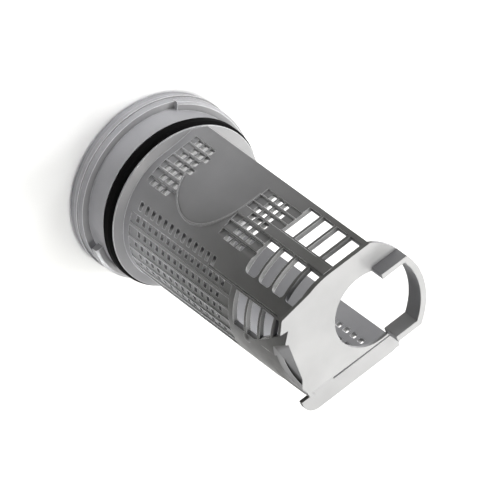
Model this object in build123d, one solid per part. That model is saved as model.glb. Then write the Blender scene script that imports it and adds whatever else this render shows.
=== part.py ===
from build123d import *
from math import asin, cos, degrees, radians, sin, sqrt
import os

# A screw-in filter for the drain pump of a washing machine. It stands on the front face of its cap,
# with the origin at the middle of that face and +Z along the basket. The basket is a trough: round
# on its -X side, flat on +Y and -Y, and open on +X.

# how far a cut runs past the surface that it opens
cut_margin = 1.0

# cap
rim_radius = 31.2
rim_round = 4.0
rim_height = 4.1
step_radius = 30.5
step_top = 6.4
core_radius = 28.0
neck_top = 20.0
neck_flange = 0.5
cap_wall = 2.6
grip_recess_depth = 12.0
grip_width = 9.0
grip_round = 1.5

# thread on the cap
thread_starts = 2
thread_lead = 21.0
thread_turn = 60.0
thread_start_angle = 60.0
thread_rise = 1.8
thread_depth = 2.8
thread_flank = 0.7
thread_height = 2.6
thread_sink = 0.6

# rubber seal in its groove
seal_width = 5.1
seal_proud = 0.8
groove_depth = 4.4
seal_clearance = 0.05
seal_chamfer = 1.3

# basket
basket_radius = 25.0
basket_wall = 1.8
basket_sink = 0.5
rail_reach = 15.7
foot_rise = 1.2
corner_clear = 0.5
corner_taper = 4.0
corner_widening = 2.0
end_top = 109.4
end_thickness = 1.2

# large windows near the end
window_count = 4
window_pitch = 7.0
window_width = 5.9
window_end_gap = 1.7
window_corner = 1.4
upper_window_low = 2.3
upper_window_high = 13.8
middle_window_low = -14.4
middle_window_high = -2.4
side_window_low = 5.2
side_window_high = 16.0
side_window_lean = 29.0
side_window_lean_drop = 17.4

# rib between the upper and the middle windows, and the parting groove beside them
rib_low = -1.9
rib_high = 1.6
rib_proud = 0.3
parting_angle = 47.6
parting_width = 0.5
parting_depth = 0.35
parting_length = 37.0

# slits, in rows that run along the basket
row_pitch = 3.15
row_first = 9.2
row_rib = 0.5
row_recess = 0.35
slit_pitch = 3.28
slit_length = 2.5
slit_height = 2.2
front_rows = 7
front_slits = 3
front_slit_first = 67.2
front_band_start = 62.9
back_band_start = 23.9
back_slit_first = 27.0

# smooth raised pad on the +Y wall
pad_centre_z = 48.6
pad_centre_x = 1.2
pad_radius = 14.4
pad_top_x = 7.6
pad_line = 0.5
pad_line_height = 0.35

# fine slits on the round side
long_row_x = -16.9
long_row_count = 13
long_row_first = 27.4
side_row_pitch = 4.0
side_row_first = 14.8
side_rows = 6
side_slit_count = 15
side_slit_height = 1.8
side_slit_length = 1.6

# slits of the -Y wall
far_row_pitch = 4.1
far_row_first = 8.4
far_rows = 3
far_row_shift = 1.3
far_slit_pitch = 3.9
far_slit_first = 64.8
far_slit_count = 8
far_slit_length = 2.3
far_slit_height = 1.7

# end plate, its opening and the collar that stands on it
opening_centre = (8.0, 2.6)
opening_radius = 13.4
opening_flat_y = 16.2
plate_low_y = -11.6
plate_left_x = -21.7
collar_centre = (1.8, 5.3)
collar_radius = 24.3
collar_wall = 2.1
collar_upper_wall = 1.8
collar_height = 5.2
collar_arm_start = 13.3
collar_low_start = 10.4
collar_low_y = -11.0
end_reach = 29.6
plate_corner = (-20.8, 21.2)
ear_tip = (-23.1, 16.6)
ear_notch = (-20.1, 16.2)
ear_heel = (-22.7, 12.2)
ear_root = (-21.6, 11.2)

# sloping facets between the end plate's left edge and the round side, below the side windows
slope_lean = 0.26
slope_wall = 1.6
slope_inset = 0.2
fold_low_y = -4.0
fold_high = (-23.5, 6.7)
fold_drop = 6.4
corner_out = (-23.0, -7.5)
corner_low = (-20.5, -11.2)
web_lean = 27.5
web_low_y = 4.9
web_low_drop = 13.1
taper_radius = 24.1
taper_drop = 14.0

# ledge at the end of the -Y wall
ledge_drop = 7.3
ledge_thickness = 1.5
ledge_left = -21.9
ledge_right = 17.4
ledge_low_y = -25.3
ledge_high_y = -18.5
ledge_root_left = -17.0
ledge_root_right = -9.0
ledge_root_y = -12.6
ledge_corner = 5.0

# round bead below the side windows
bead_angle = 82.0
bead_drop = 21.8
bead_radius = 2.6
bead_proud = 0.6


base_centre = (Align.CENTER, Align.CENTER, Align.MIN)


def block(x_range, y_range, z_range):
    """A plain box between two corners."""
    size = (x_range[1] - x_range[0], y_range[1] - y_range[0], z_range[1] - z_range[0])
    middle = tuple((low + high) / 2 for low, high in (x_range, y_range, z_range))
    return Pos(*middle) * Box(*size)


def disc(radius, z_low, z_high):
    """A cylinder on the axis between two heights."""
    return Pos(0, 0, (z_low + z_high) / 2) * Cylinder(radius, z_high - z_low)


def trough(radius, reach, z_low, z_high):
    """The solid trough shape: half round on -X, straight on +Y and -Y."""
    round_side = disc(radius, z_low, z_high) & block((-2 * radius, 0), (-radius, radius), (z_low, z_high))
    return round_side + block((0, reach), (-radius, radius), (z_low, z_high))


def thread_flight(start_angle):
    """One helical flight that climbs away from the front, clockwise seen from the basket's end."""
    root = core_radius - thread_sink
    crest = core_radius + thread_depth
    height = thread_lead * thread_turn / 360
    path = Helix(pitch=thread_lead, height=height, radius=root, lefthand=True)
    with BuildSketch(Plane.XZ) as section:
        with BuildLine():
            Polyline(
                (root, -thread_height),
                (crest, -thread_height),
                (crest, -thread_flank),
                (crest - thread_flank, 0),
                (root, 0),
                close=True,
            )
        make_face()
    flight = sweep(section.sketch, path=path, binormal=Edge.make_line((0, 0, 0), (0, 0, 1)))
    return Pos(0, 0, step_top + thread_rise) * Rot(0, 0, start_angle) * flight


def grip_recess():
    """The two finger hollows beside the bar across the cap's front."""
    hollow = disc(core_radius - cap_wall, -cut_margin, grip_recess_depth)
    bar_z = (-2 * cut_margin, grip_recess_depth + cut_margin)
    bar = block((-core_radius, core_radius), (-grip_width / 2, grip_width / 2), bar_z)
    return fillet((hollow - bar).edges().filter_by(Axis.Z), grip_round)


def cap():
    """Rounded front, stepped rim, thread, seal groove and neck."""
    rim = disc(rim_radius, 0, rim_height)
    rim = fillet(rim.edges().filter_by(GeomType.CIRCLE).group_by(Axis.Z)[0], rim_round)
    body = rim + disc(step_radius, 0, step_top) + disc(core_radius, 0, neck_top)
    groove_top = neck_top - neck_flange
    groove = disc(core_radius + cut_margin, groove_top - seal_width, groove_top)
    groove = groove - disc(core_radius - groove_depth, groove_top - seal_width, groove_top)
    body = body - groove
    for start in range(thread_starts):
        body = body + thread_flight(thread_start_angle + start * 360 / thread_starts)
    return body - grip_recess()


def seal():
    """The rubber ring, flat where it sits in the groove and bevelled where it stands proud."""
    width = seal_width - 2 * seal_clearance
    inner = core_radius - groove_depth + seal_clearance
    outer = core_radius + seal_proud
    middle = neck_top - neck_flange - seal_width / 2
    section = Pos((inner + outer) / 2, 0, middle) * Rot(90, 0, 0) * Rectangle(outer - inner, width)
    section = chamfer(section.vertices().group_by(Axis.X)[-1], seal_chamfer)
    return revolve(section, Axis.Z)


def row_slits(x_middle, y_range, z_first, count, pitch, length, height):
    """A row of slits cut along Y."""
    cuts = []
    for number in range(count):
        z_low = z_first + number * pitch - length / 2
        cuts.append(block((x_middle - height / 2, x_middle + height / 2), y_range, (z_low, z_low + length)))
    return cuts


def side_slits(y_middle, z_first, count):
    """A row of slits cut along X in the round side."""
    cuts = []
    for number in range(count):
        z_low = z_first + number * slit_pitch - side_slit_length / 2
        y_range = (y_middle - side_slit_height / 2, y_middle + side_slit_height / 2)
        x_range = (-basket_radius - cut_margin, -basket_radius / 2)
        cuts.append(block(x_range, y_range, (z_low, z_low + side_slit_length)))
    return cuts


def half_space(point, normal):
    """Everything in front of a plane, as a large box."""
    reach = 6 * basket_radius
    return Plane(origin=point, z_dir=normal) * Box(reach, reach, reach, align=base_centre)


def windows():
    """Three columns of large windows near the end; the side ones end on a leaning web."""
    cuts = []
    outer = basket_radius + cut_margin
    last_edge = end_top - window_end_gap
    lean = radians(side_window_lean)
    web_top = half_space((0, side_window_low, end_top - side_window_lean_drop), (0, -cos(lean), sin(lean)))
    for number in range(window_count):
        z_high = last_edge - number * window_pitch
        z_range = (z_high - window_width, z_high)
        cuts.append(block((upper_window_low, upper_window_high), (basket_radius / 2, outer), z_range))
        middle = block((middle_window_low, middle_window_high), (basket_radius / 2, outer), z_range)
        low_edges = middle.edges().filter_by(Axis.Y).group_by(Axis.X)[0]
        cuts.append(fillet(low_edges, window_corner))
        side = block((-outer, -basket_radius / 2), (side_window_low, side_window_high), z_range)
        cuts.append(side - web_top)
    return cuts


def wall_slits():
    """The stepped bands of slits on both sides of the pad."""
    cuts = []
    near = (basket_radius / 2, basket_radius + cut_margin)
    size = (slit_length, slit_height)
    for number in range(front_rows):
        x_middle = row_first - number * row_pitch
        shift = slit_pitch / 2 if number % 2 else 0
        for first in (front_slit_first, back_slit_first):
            cuts += row_slits(x_middle, near, first + shift, front_slits, slit_pitch, *size)
    return cuts


def round_side_slits():
    """The long row and the fine rows on the round side."""
    near = (basket_radius / 4, basket_radius + cut_margin)
    size = (side_slit_length, slit_height)
    cuts = row_slits(long_row_x, near, long_row_first, long_row_count, slit_pitch, *size)
    for row in range(side_rows):
        y_middle = side_row_first - row * side_row_pitch
        shift = slit_pitch / 2 if row % 2 else 0
        cuts += side_slits(y_middle, long_row_first + shift, side_slit_count - row % 2)
    return cuts


def far_wall_slits():
    """The small slits of the -Y wall."""
    far = (-basket_radius - cut_margin, -basket_radius / 2)
    cuts = []
    for row in range(far_rows):
        x_middle = far_row_first - row * far_row_pitch
        first = far_slit_first + row % 2 * far_row_shift
        size = (far_slit_length, far_slit_height)
        cuts += row_slits(x_middle, far, first, far_slit_count, far_slit_pitch, *size)
    return cuts


def wall_height(across):
    """How far out the basket's surface lies, at a distance across it from the axis."""
    return sqrt(basket_radius ** 2 - min(across, 0) ** 2)


def front_treads():
    """Flat treads cut into the +Y wall, one for each row, so that the rows stand like stairs."""
    cuts = []
    front_band_end = end_top - window_end_gap - (window_count - 1) * window_pitch - window_width
    pad_near = pad_centre_z - pad_radius
    for row in range(front_rows):
        x_high = row_first + (row_pitch - row_rib) / 2 - row * row_pitch
        x_low = x_high - row_pitch + row_rib
        floor = (wall_height(x_low) + wall_height(x_high)) / 2 - row_recess
        back_end = pad_near if x_low > pad_top_x else pad_centre_z
        for z_range in ((front_band_start, front_band_end), (back_band_start, back_end)):
            cuts.append(block((x_low, x_high), (floor, basket_radius + cut_margin), z_range))
    return cuts


def side_treads():
    """The same treads on the round side, each square to its own place on the round."""
    cuts = []
    z_low = long_row_first - slit_pitch
    z_high = long_row_first + (side_slit_count + 0.5) * slit_pitch
    half = (side_row_pitch - row_rib) / 2
    for row in range(side_rows):
        angle = degrees(asin((side_row_first - row * side_row_pitch) / basket_radius))
        floor = basket_radius * cos(half / basket_radius) - row_recess
        tread = block((-basket_radius - cut_margin, -floor), (-half, half), (z_low, z_high))
        cuts.append(Rot(0, 0, -angle) * tread)
    return cuts


def parting_groove():
    """A fine groove down the round side, where the two halves of the mould meet."""
    groove = block(
        (-parting_width / 2, parting_width / 2),
        (basket_radius - parting_depth, basket_radius + cut_margin),
        (end_top - parting_length - ledge_drop, end_top - ledge_drop),
    )
    return Rot(0, 0, parting_angle) * groove


def pad_shape(radius, top):
    """Flat outline of the pad, half round towards -X."""
    with BuildSketch(Plane.XZ) as outline:
        with Locations((pad_centre_x, pad_centre_z)):
            Circle(radius)
        with Locations(((pad_centre_x + top) / 2, pad_centre_z)):
            Rectangle(top - pad_centre_x, 2 * radius)
        with Locations((top + radius, pad_centre_z)):
            Rectangle(2 * radius, 2 * (radius + cut_margin), mode=Mode.SUBTRACT)
    return outline.sketch


def pad_column(radius, top):
    """The pad outline taken through the +Y wall."""
    return Pos(0, basket_radius + 2 * cut_margin, 0) * extrude(pad_shape(radius, top), amount=basket_radius)


def end_facets():
    """The cut that leaves two sloping facets beside the end plate, and the thin wall behind them."""
    fold_low = Vector(plate_left_x, fold_low_y, end_top)
    fold_top = Vector(fold_high[0], fold_high[1], end_top - fold_drop)
    outside = Vector(corner_out[0], corner_out[1], end_top)
    steep = half_space(fold_low, (-1, 0, slope_lean))
    shallow = half_space(fold_low, (fold_top - fold_low).cross(outside - fold_low))
    lean = radians(web_lean)
    below_web = half_space((0, web_low_y, end_top - web_low_drop), (0, -cos(lean), sin(lean)))
    cut = steep & shallow & below_web
    wall = steep.moved(Pos(slope_wall, 0, 0)) - steep
    wall = wall & disc(basket_radius - slope_inset, end_top - 2 * taper_drop, end_top)
    span = block((-2 * basket_radius, 0), (ledge_root_y, ear_root[1]), (0, end_top))
    return cut, wall & span


def taper_cut():
    """What the round side loses where it draws in towards the end, below the side windows."""
    low = end_top - taper_drop
    cone = Cone(basket_radius, taper_radius, taper_drop, align=base_centre)
    ring = disc(basket_radius + cut_margin, low, end_top) - Pos(0, 0, low) * cone
    x_range = (-2 * basket_radius, -basket_radius / 2)
    return ring & block(x_range, (-2 * basket_radius, web_low_y), (low, end_top))


def corner_limit():
    """The round space that the basket's corners keep to, narrow at the neck and wider above it."""
    narrow = core_radius - corner_clear
    wide = core_radius + corner_widening
    cone = Pos(0, 0, neck_top) * Cone(narrow, wide, corner_taper, align=base_centre)
    return disc(narrow, 0, neck_top) + cone + disc(wide, neck_top + corner_taper, end_top)


def basket():
    """The trough with its windows, slits, stepped bands, raised pad and rib."""
    outer = trough(basket_radius, rail_reach, neck_top - basket_sink, end_top)
    inner = trough(basket_radius - basket_wall, rail_reach + cut_margin, neck_top, end_top + cut_margin)
    shell = outer - inner
    treads = Part() + front_treads() - pad_column(pad_radius, pad_top_x)
    shell = shell - treads - side_treads() - parting_groove()
    skin = trough(basket_radius + pad_line_height, rail_reach, neck_top, end_top) - inner
    pad_edge = pad_column(pad_radius, pad_top_x) - pad_column(pad_radius - pad_line, pad_top_x + cut_margin)
    rib_y = (basket_radius - cut_margin, basket_radius + rib_proud)
    rib = block((rib_low, rib_high), rib_y, (front_band_start, end_top - end_thickness))
    bead_middle = Pos(0, basket_radius + bead_proud - bead_radius, end_top - bead_drop)
    bead = Rot(0, 0, bead_angle) * bead_middle * Sphere(bead_radius)
    shell = shell + (skin & pad_edge) + rib + (bead - inner)
    shell = shell - windows() - wall_slits() - round_side_slits() - far_wall_slits()
    facets, facet_wall = end_facets()
    wide = (-2 * basket_radius, 2 * basket_radius)
    far_z = (end_top - ledge_drop, end_top + cut_margin)
    far_corner = block(wide, (-2 * basket_radius, ledge_root_y), far_z)
    shell = shell - facets - taper_cut() - far_corner
    foot = Cone(core_radius, basket_radius, foot_rise, align=base_centre)
    foot = Pos(0, 0, neck_top) * foot - inner - block((rail_reach, 2 * basket_radius), wide, (0, end_top))
    return (shell & corner_limit()) + facet_wall + foot


def past_x(x_low):
    """Everything in the plane beyond one X."""
    return Pos(x_low + rim_radius, 0) * Rectangle(2 * rim_radius, 4 * rim_radius)


def across(y_low, y_high):
    """A flat band across the plane between two values of Y."""
    return Pos(0, (y_low + y_high) / 2) * Rectangle(4 * rim_radius, y_high - y_low)


def collar_inside():
    """The flat space that the collar stands around."""
    round_inside = Pos(*collar_centre) * Circle(collar_radius - collar_wall)
    return round_inside & across(collar_low_y + collar_wall, opening_flat_y - collar_upper_wall)


def end_plate():
    """The flat end plate with its opening and the small ear at its corner."""
    with BuildSketch() as outline:
        with BuildLine():
            Polyline(
                (0, basket_radius),
                (rim_radius, basket_radius),
                (rim_radius, plate_low_y),
                corner_low,
                corner_out,
                (plate_left_x, fold_low_y),
                ear_root,
                ear_heel,
                ear_notch,
                ear_tip,
                plate_corner,
                close=True,
            )
        make_face()
    left = Pos(collar_centre[0] - rim_radius, 0) * Rectangle(2 * rim_radius, 4 * rim_radius)
    allowed = Pos(*collar_centre) * Circle(collar_radius) + left
    opening = Pos(*opening_centre) * Circle(opening_radius)
    opening = opening & across(opening_flat_y - 4 * rim_radius, opening_flat_y)
    opening = opening + (collar_inside() & past_x(collar_arm_start))
    shape = (outline.sketch & allowed & Circle(end_reach)) - opening
    return Pos(0, 0, end_top - end_thickness) * extrude(shape, amount=end_thickness)


def collar():
    """The C-shaped wall that stands on the end plate."""
    outer = (Pos(*collar_centre) * Circle(collar_radius)) & Circle(end_reach)
    arms = past_x(collar_arm_start) & across(collar_low_y, opening_flat_y)
    low_arm = past_x(collar_low_start) & across(collar_low_y, collar_low_y + collar_wall)
    shape = ((arms + low_arm) & outer) - collar_inside()
    low_z = end_top - end_thickness
    return Pos(0, 0, low_z) * extrude(shape, amount=end_thickness + collar_height)


def ledge():
    """The flat ledge that closes the end of the -Y wall."""
    with BuildSketch() as outline:
        with BuildLine():
            Polyline(
                (ledge_left, ledge_high_y),
                (ledge_root_left, ledge_high_y),
                (ledge_root_left, ledge_root_y),
                (ledge_root_right, ledge_root_y),
                (ledge_root_right, ledge_high_y),
                (ledge_right, ledge_high_y),
                (ledge_right, ledge_low_y),
                (ledge_left, ledge_low_y),
                close=True,
            )
        make_face()
        fillet(outline.vertices().group_by(Axis.Y)[0], ledge_corner)
    low_z = end_top - ledge_drop - ledge_thickness
    return Pos(0, 0, low_z) * extrude(outline.sketch, amount=ledge_thickness)


def filter_body():
    """Cap, basket, end plate, collar and ledge are one moulding."""
    return cap() + basket() + end_plate() + collar() + ledge()


os.makedirs("parts", exist_ok=True)
body = filter_body()
ring = seal()
for label, shape in (("filter_body", body), ("seal_ring", ring)):
    export_step(shape, "parts/" + label + ".step")
    print(label, "solids", len(shape.solids()), "volume", round(shape.volume, 1))
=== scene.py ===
import bmesh
import bpy
from math import radians
from mathutils import Matrix, Vector


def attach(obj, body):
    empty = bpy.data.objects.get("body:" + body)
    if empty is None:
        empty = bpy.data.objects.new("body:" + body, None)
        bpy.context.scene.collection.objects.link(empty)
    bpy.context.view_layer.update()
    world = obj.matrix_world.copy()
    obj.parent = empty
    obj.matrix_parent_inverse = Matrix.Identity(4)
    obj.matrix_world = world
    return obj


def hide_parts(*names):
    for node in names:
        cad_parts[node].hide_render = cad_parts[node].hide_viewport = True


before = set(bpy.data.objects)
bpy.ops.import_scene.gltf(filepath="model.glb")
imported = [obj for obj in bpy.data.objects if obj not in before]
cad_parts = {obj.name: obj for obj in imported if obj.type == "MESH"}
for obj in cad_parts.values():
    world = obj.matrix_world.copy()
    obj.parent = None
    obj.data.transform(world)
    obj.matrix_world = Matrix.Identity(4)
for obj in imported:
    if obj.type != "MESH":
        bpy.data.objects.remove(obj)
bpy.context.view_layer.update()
print("frame loaded")


def newMaterial(name):
    material = bpy.data.materials.new(name)
    material.use_nodes = True
    nodes = material.node_tree.nodes
    nodes.clear()
    shader = nodes.new("ShaderNodeBsdfPrincipled")
    output = nodes.new("ShaderNodeOutputMaterial")
    material.node_tree.links.new(shader.outputs[0], output.inputs[0])
    return material, nodes, material.node_tree.links, shader


def noiseNode(nodes, links, coords, scale, detail, roughness):
    noise = nodes.new("ShaderNodeTexNoise")
    noise.inputs["Scale"].default_value = scale
    noise.inputs["Detail"].default_value = detail
    noise.inputs["Roughness"].default_value = roughness
    links.new(coords, noise.inputs["Vector"])
    return noise.outputs["Fac"]


def rampNode(nodes, links, factor, span, colourLow, colourHigh):
    ramp = nodes.new("ShaderNodeValToRGB")
    for element, position, colour in zip(ramp.color_ramp.elements, span, (colourLow, colourHigh)):
        element.position = position
        element.color = colour
    links.new(factor, ramp.inputs["Fac"])
    return ramp.outputs["Color"]


def rangeNode(nodes, links, value, span, toLow, toHigh):
    mapped = nodes.new("ShaderNodeMapRange")
    mapped.inputs["From Min"].default_value = span[0]
    mapped.inputs["From Max"].default_value = span[1]
    mapped.inputs["To Min"].default_value = toLow
    mapped.inputs["To Max"].default_value = toHigh
    links.new(value, mapped.inputs["Value"])
    return mapped.outputs["Result"]


def mixColour(nodes, links, factor, first, secondColour):
    mix = nodes.new("ShaderNodeMix")
    mix.data_type = "RGBA"
    links.new(factor, mix.inputs["Factor"])
    links.new(first, mix.inputs[6])   # the sockets 6 and 7 and the output 2 are those for colours
    mix.inputs[7].default_value = secondColour
    return mix.outputs[2]


def mathNode(nodes, links, operation, first, second=None):
    node = nodes.new("ShaderNodeMath")
    node.operation = operation
    for socket, value in zip(node.inputs, (first, second)):
        if isinstance(value, float):
            socket.default_value = value
        elif value is not None:
            links.new(value, socket)
    return node.outputs[0]


def splitNode(nodes, links, vector):
    split = nodes.new("ShaderNodeSeparateXYZ")
    links.new(vector, split.inputs[0])
    return split.outputs


def bumpNode(nodes, links, height, strength, distance, normal=None):
    bump = nodes.new("ShaderNodeBump")
    bump.inputs["Strength"].default_value = strength
    bump.inputs["Distance"].default_value = distance
    links.new(height, bump.inputs["Height"])
    if normal:
        links.new(normal, bump.inputs["Normal"])
    return bump.outputs["Normal"]


# each pair gives the two values between which an effect fades in or out
greyPlastic = {
    "colour": (0.168, 0.168, 0.172, 1.0),
    "colourDark": (0.142, 0.142, 0.146, 1.0),
    "cloudScale": 45.0,
    "cloudDetail": 3.0,
    "cloudRoughness": 0.55,
    "cloudFade": (0.35, 0.65),
    "colourHighlight": (0.50, 0.50, 0.50, 1.0),   # painted highlight: softened edges are made paler
    "highlightAmount": 1.0,
    "highlightFade": (0.90, 0.99),   # of how far the softened edge still faces the way of its surface
    "highlightHeights": (0.0995, 0.1005),   # the end plate and the ledge get no painted highlight
    "edgeRadius": 0.0003,
    "colourCornerShade": (0.035, 0.035, 0.034, 1.0),   # painted shade that stays in corners and grooves
    "cornerShade": 0.85,
    "cornerShadeFade": (0.25, 0.65),   # of how open a corner is
    "cornerReach": 0.0012,
    "colourEndShade": (0.052, 0.051, 0.048, 1.0),   # painted shade on the basket's outside, darker towards its end
    "endShade": 1.0,
    "endShadeHeights": (0.045, 0.100),
    "outsideFade": (0.0239, 0.0245),   # how far from the axis the basket's outside begins
    "upwardFade": (0.3, 0.8),   # faces that look up aren't darkened
    "roughness": 0.40,
    "roughnessScuffed": 0.52,
    "scuffScale": 140.0,
    "scuffDetail": 4.0,
    "scuffRoughness": 0.6,
    "scuffFade": (0.35, 0.65),
    "grainScale": 900.0,
    "grainDetail": 2.0,
    "grainRoughness": 0.5,
    "grainStrength": 0.35,
    "grainHeight": 0.00003,
    "samples": 6,
}


def paintedEndShadeShare(nodes, links, place, upward, look):
    # painted shade that grows along the basket, on its outside only
    acrossX = mathNode(nodes, links, "MINIMUM", place["X"], 0.0)   # the trough is straight on +X
    squareX = mathNode(nodes, links, "MULTIPLY", acrossX, acrossX)
    squareY = mathNode(nodes, links, "MULTIPLY", place["Y"], place["Y"])
    away = mathNode(nodes, links, "SQRT", mathNode(nodes, links, "ADD", squareX, squareY))
    outside = rangeNode(nodes, links, away, look["outsideFade"], 0.0, 1.0)
    along = rangeNode(nodes, links, place["Z"], look["endShadeHeights"], 0.0, look["endShade"])
    sideways = rangeNode(nodes, links, upward, look["upwardFade"], 1.0, 0.0)
    share = mathNode(nodes, links, "MULTIPLY", outside, along)
    return mathNode(nodes, links, "MULTIPLY", share, sideways)


# painted highlight: paler colour where the softened edge's normal turns away from its surface
def paintedHighlightShare(nodes, links, softNormal, surfaceNormal, place, look):
    turned = nodes.new("ShaderNodeVectorMath")
    turned.operation = "DOT_PRODUCT"
    links.new(softNormal, turned.inputs[0])
    links.new(surfaceNormal, turned.inputs[1])
    highlighted = rangeNode(nodes, links, turned.outputs["Value"], look["highlightFade"], look["highlightAmount"], 0.0)
    belowEnd = rangeNode(nodes, links, place["Z"], look["highlightHeights"], 1.0, 0.0)
    return mathNode(nodes, links, "MULTIPLY", highlighted, belowEnd)


# painted shade: ambient occlusion darkens corners and grooves
def paintedCornerShadeShare(nodes, links, look):
    corners = nodes.new("ShaderNodeAmbientOcclusion")
    corners.samples = look["samples"]
    corners.inputs["Distance"].default_value = look["cornerReach"]
    return rangeNode(nodes, links, corners.outputs["AO"], look["cornerShadeFade"], look["cornerShade"], 0.0)


def makeGreyPlastic(look):
    material, nodes, links, shader = newMaterial("grey_plastic")
    coords = nodes.new("ShaderNodeTexCoord").outputs["Object"]
    place = splitNode(nodes, links, coords)
    surfaceNormal = nodes.new("ShaderNodeNewGeometry").outputs["Normal"]
    upward = splitNode(nodes, links, surfaceNormal)["Z"]
    softEdge = nodes.new("ShaderNodeBevel")
    softEdge.samples = look["samples"]
    softEdge.inputs["Radius"].default_value = look["edgeRadius"]
    softNormal = softEdge.outputs["Normal"]
    cloud = noiseNode(nodes, links, coords,
                      look["cloudScale"], look["cloudDetail"], look["cloudRoughness"])
    colour = rampNode(nodes, links, cloud, look["cloudFade"], look["colourDark"], look["colour"])
    # painted shade, darker along the basket's outside towards its end
    endShaded = paintedEndShadeShare(nodes, links, place, upward, look)
    colour = mixColour(nodes, links, endShaded, colour, look["colourEndShade"])
    # painted highlight on the softened edges
    highlighted = paintedHighlightShare(nodes, links, softNormal, surfaceNormal, place, look)
    colour = mixColour(nodes, links, highlighted, colour, look["colourHighlight"])
    # painted shade in corners and grooves
    colour = mixColour(nodes, links, paintedCornerShadeShare(nodes, links, look), colour, look["colourCornerShade"])
    links.new(colour, shader.inputs["Base Color"])
    scuffs = noiseNode(nodes, links, coords,
                       look["scuffScale"], look["scuffDetail"], look["scuffRoughness"])
    gloss = rangeNode(nodes, links, scuffs, look["scuffFade"],
                      look["roughness"], look["roughnessScuffed"])
    links.new(gloss, shader.inputs["Roughness"])
    grain = noiseNode(nodes, links, coords,
                      look["grainScale"], look["grainDetail"], look["grainRoughness"])
    normal = bumpNode(nodes, links, grain, look["grainStrength"], look["grainHeight"], softNormal)
    links.new(normal, shader.inputs["Normal"])
    return material


blackRubber = {
    "colour": (0.0012, 0.0012, 0.0012, 1.0),
    "roughness": 0.75,
    "specular": 0.03,
    "grainScale": 1500.0,
    "grainDetail": 2.0,
    "grainRoughness": 0.5,
    "grainStrength": 0.3,
    "grainHeight": 0.00003,
}


def makeBlackRubber(look):
    material, nodes, links, shader = newMaterial("seal_rubber")
    coords = nodes.new("ShaderNodeTexCoord").outputs["Object"]
    shader.inputs["Base Color"].default_value = look["colour"]
    shader.inputs["Roughness"].default_value = look["roughness"]
    shader.inputs["Specular IOR Level"].default_value = look["specular"]
    grain = noiseNode(nodes, links, coords,
                      look["grainScale"], look["grainDetail"], look["grainRoughness"])
    normal = bumpNode(nodes, links, grain, look["grainStrength"], look["grainHeight"])
    links.new(normal, shader.inputs["Normal"])
    return material


def dress(node, material):
    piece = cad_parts[node]
    piece.data.materials.clear()
    piece.data.materials.append(material)


mouldedBody = {
    "mergeGap": 0.000004,
    "sharpAngle": radians(30.0),
    # a small box, by its low and high corner, and how far the points of the moulding in it move
    "trims": {
        "ledge_gap": {
            "low": (-0.0222, -0.01855, 0.1004),
            "high": (0.0178, -0.01845, 0.1023),
            "move": (0.0, -0.0007, 0.0),
        },
        "far_rail": {
            "low": (0.01560, -0.0253, 0.0203),
            "high": (0.01580, -0.0200, 0.1000),
            "move": (-0.0007, 0.0, 0.0),
        },
    },
}


def isInBox(place, low, high):
    return all(start <= value <= end for start, value, end in zip(low, place, high))


def makeMouldedBody(shape, material):
    bm = bmesh.new()
    bm.from_mesh(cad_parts["filter_body"].data)
    bmesh.ops.remove_doubles(bm, verts=bm.verts, dist=shape["mergeGap"])
    for name, trim in shape["trims"].items():
        points = [vert for vert in bm.verts if isInBox(vert.co, trim["low"], trim["high"])]
        print(name, "moves", len(points), "points")
        bmesh.ops.translate(bm, verts=points, vec=trim["move"])
    mesh = bpy.data.meshes.new("moulded_body")
    bm.to_mesh(mesh)
    bm.free()
    keptNormals = mesh.attributes.get("custom_normal")   # they don't fit the merged points
    if keptNormals:
        mesh.attributes.remove(keptNormals)
    mesh.materials.append(material)
    mesh.shade_smooth()
    mesh.set_sharp_from_angle(angle=shape["sharpAngle"])
    piece = bpy.data.objects.new("moulded_body", mesh)
    bpy.context.scene.collection.objects.link(piece)
    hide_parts("filter_body")
    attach(piece, "root")


makeMouldedBody(mouldedBody, makeGreyPlastic(greyPlastic))
dress("seal_ring", makeBlackRubber(blackRubber))
print("body and seal finished")

floorLook = {
    "size": 6.0,
    "colour": (0.54, 0.54, 0.54, 1.0),
    "roughness": 0.9,
    "specular": 0.0,
}


def makeFloor(look):
    bpy.ops.mesh.primitive_plane_add(size=look["size"], location=(0, 0, 0))
    floor = bpy.context.object
    floor.name = "floor"
    material, nodes, links, shader = newMaterial("pale_floor")
    shader.inputs["Base Color"].default_value = look["colour"]
    shader.inputs["Roughness"].default_value = look["roughness"]
    shader.inputs["Specular IOR Level"].default_value = look["specular"]
    floor.data.materials.append(material)


makeFloor(floorLook)

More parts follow.
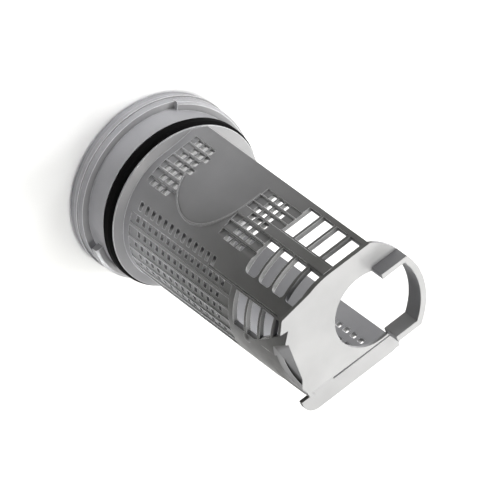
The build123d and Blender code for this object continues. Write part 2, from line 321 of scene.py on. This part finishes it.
warmWhite = (1.0, 0.998, 0.965)
coolWhite = (0.97, 0.97, 1.0)
studioLights = {
    "worldColour": (0.95, 0.96, 1.0, 1.0),
    "worldStrength": 0.01,
    # name: place, point it aims at, size, power, spread in degrees, colour
    "lamps": {
        "top_light":
            ((0.0, 0.0, 0.46), (0.0, 0.0, 0.0), 0.22, 3.22, 180.0, warmWhite),
        "back_top_light":
            ((0.0, -0.3, 0.5), (0.0, 0.0, 0.05), 0.2, 0.37, 180.0, warmWhite),
        "ledge_light":
            ((0.315, -0.546, 0.533), (0.0, 0.0, 0.05), 0.3, 0.35, 60.0, warmWhite),
        "open_side_light":
            ((0.546, -0.315, 0.533), (0.0, 0.0, 0.05), 0.3, 0.58, 60.0, warmWhite),
        "wall_light":
            ((0.682, 0.394, 0.179), (0.0, 0.0, 0.05), 0.3, 0.70, 60.0, coolWhite),
        "round_side_light":
            ((-0.394, -0.682, 0.179), (0.0, 0.0, 0.05), 0.3, 0.72, 60.0, coolWhite),
        "inner_light":
            ((0.16, 0.0, 0.09), (0.0, -0.01, 0.08), 0.05, 0.135, 90.0, coolWhite),
        "cap_light":
            ((-0.22, 0.10, 0.05), (-0.02, 0.0, 0.01), 0.06, 0.009, 24.0, coolWhite),
        "rim_light_a":
            ((-0.12, 0.28, 0.03), (-0.01, 0.03, 0.003), 0.02, 0.0019, 9.0, coolWhite),
        "rim_light_b":
            ((-0.30, 0.12, 0.03), (-0.03, 0.01, 0.003), 0.02, 0.0006, 9.0, coolWhite),
        "rim_light_c":
            ((0.08, 0.30, 0.03), (0.01, 0.03, 0.003), 0.02, 0.0028, 9.0, coolWhite),
    },
}


def areaLight(name, place, aim, size, power, spread, colour):
    lamp = bpy.data.lights.new(name, "AREA")
    lamp.shape = "DISK"
    lamp.size = size
    lamp.energy = power
    lamp.spread = radians(spread)
    lamp.color = colour
    holder = bpy.data.objects.new(name, lamp)
    holder.visible_camera = False
    bpy.context.scene.collection.objects.link(holder)
    holder.location = place
    holder.rotation_euler = (Vector(aim) - Vector(place)).to_track_quat("-Z", "Y").to_euler()


def lightStudio(lights):
    world = bpy.data.worlds.new("studio")
    world.use_nodes = True
    background = world.node_tree.nodes["Background"]
    background.inputs["Color"].default_value = lights["worldColour"]
    background.inputs["Strength"].default_value = lights["worldStrength"]
    bpy.context.scene.world = world
    bpy.context.scene.view_settings.view_transform = "Standard"   # plain tones
    for name, lamp in lights["lamps"].items():
        areaLight(name, *lamp)


lightStudio(studioLights)
print("floor and lights made")

photoCamera = {
    "target": (0.000733, 0.000308, 0.05387),   # near the basket's axis, in the middle of the frame
    "direction": (-0.27874, 0.66218, 0.69557),   # from the target to the camera
    "up": (0.57971, 0.69345, -0.42785),
    "distance": 2.37266,
    "lens": 547.08,
    "sensor": 36.0,
    "clip": (0.1, 20.0),
}


def makeCamera(view):
    lensData = bpy.data.cameras.new("photo_camera")
    lensData.lens = view["lens"]
    lensData.sensor_width = view["sensor"]
    lensData.clip_start, lensData.clip_end = view["clip"]
    camera = bpy.data.objects.new("photo_camera", lensData)
    bpy.context.scene.collection.objects.link(camera)
    back = Vector(view["direction"]).normalized()
    right = Vector(view["up"]).cross(back).normalized()
    up = back.cross(right)
    turn = Matrix((right, up, back)).transposed().to_4x4()
    place = Vector(view["target"]) + back * view["distance"]
    camera.matrix_world = Matrix.Translation(place) @ turn
    bpy.context.scene.camera = camera


makeCamera(photoCamera)
print("camera placed")
